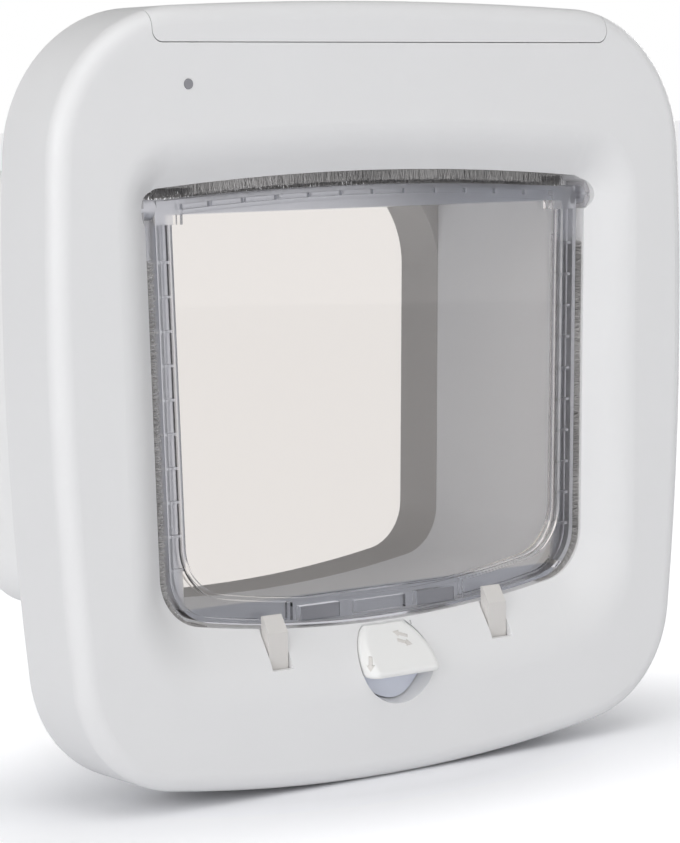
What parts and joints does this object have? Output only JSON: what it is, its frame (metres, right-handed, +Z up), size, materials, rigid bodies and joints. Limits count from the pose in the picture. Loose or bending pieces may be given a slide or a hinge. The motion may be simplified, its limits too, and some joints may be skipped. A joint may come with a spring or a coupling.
{
  "type": "cat flap",
  "caption": "White cat flap for a door, with a clear swinging panel in a dished bezel, sprung latches, a rotary lock and a battery bay along the top.",
  "frame": {"origin": "middle of the four fixing screw holes, on the face that lies against the door", "axes": "+X to the right as seen from the room, +Y out through the door, +Z up"},
  "size_m": [0.2394, 0.1089, 0.2354],
  "materials": {
    "white_shell": "satin",
    "white_tunnel": "satin",
    "clear_panel": "clear polycarbonate",
    "bush": "matte",
    "pile": "pile",
    "magnet": "matte",
    "latch": "matte",
    "steel": "plated",
    "winding": "enamelled wire",
    "white_knob": "satin",
    "cell": "satin",
    "board": "matte",
    "light": "frosted"
  },
  "bodies": {
    "housing": {"front_housing": "white_shell", "rear_cover": "white_shell", "tunnel": "white_tunnel", "tunnel_extension": "white_tunnel", "hinge_bush_left": "bush", "hinge_bush_right": "bush", "brush_top": "pile", "brush_left": "pile", "brush_right": "pile", "sill_magnet_left": "magnet", "sill_magnet_right": "magnet", "solenoid_frame": "steel", "solenoid_coil": "winding", "latch_spring": "steel", "detent_spring": "steel", "battery_tray": "white_tunnel", "battery_cell_1": "cell", "battery_cell_2": "cell", "battery_cell_3": "cell", "battery_cell_4": "cell", "battery_bridge": "steel", "battery_terminal_lower": "steel", "battery_terminal_upper": "steel", "control_board": "board", "board_screws": "steel", "light_pipe": "light", "antenna_coil": "winding", "housing_screws": "steel"},
    "flap": {"flap": "clear_panel", "flap_magnet_left": "magnet", "flap_magnet_right": "magnet"},
    "latches": {"latch_left": "latch", "latch_right": "latch", "latch_bar": "latch", "solenoid_plunger": "steel"},
    "lock": {"lock_knob": "white_knob", "knob_retainer": "latch"},
    "cover": {"battery_cover": "white_shell"},
    "button": {"learn_button": "latch"}
  },
  "joints": [
    {"name": "flap_hinge", "type": "hinge", "parent": "housing", "child": "flap", "pos_m": [0, -0.017, 0.0602], "axis": [1, 0, 0], "range_deg": [0, 70]},
    {"name": "latch_slide", "type": "slide", "parent": "housing", "child": "latches", "axis": [0, 0, -1], "range_m": [0, 0.005], "stiffness_N_per_m": 120, "springref_m": -0.002, "deforming": ["latch_spring"]},
    {"name": "lock_turn", "type": "hinge", "parent": "housing", "child": "lock", "pos_m": [0, -0.0278, -0.078], "axis": [0, -1, 0], "range_deg": [0, 270]},
    {"name": "cover_lift", "type": "slide", "parent": "housing", "child": "cover", "axis": [0, 0, 1], "range_m": [0, 0.02]},
    {"name": "learn_press", "type": "slide", "parent": "housing", "child": "button", "axis": [0, 0, -1], "range_m": [0, 0.001], "stiffness_N_per_m": 300, "springref_m": -0.001}
  ]
}
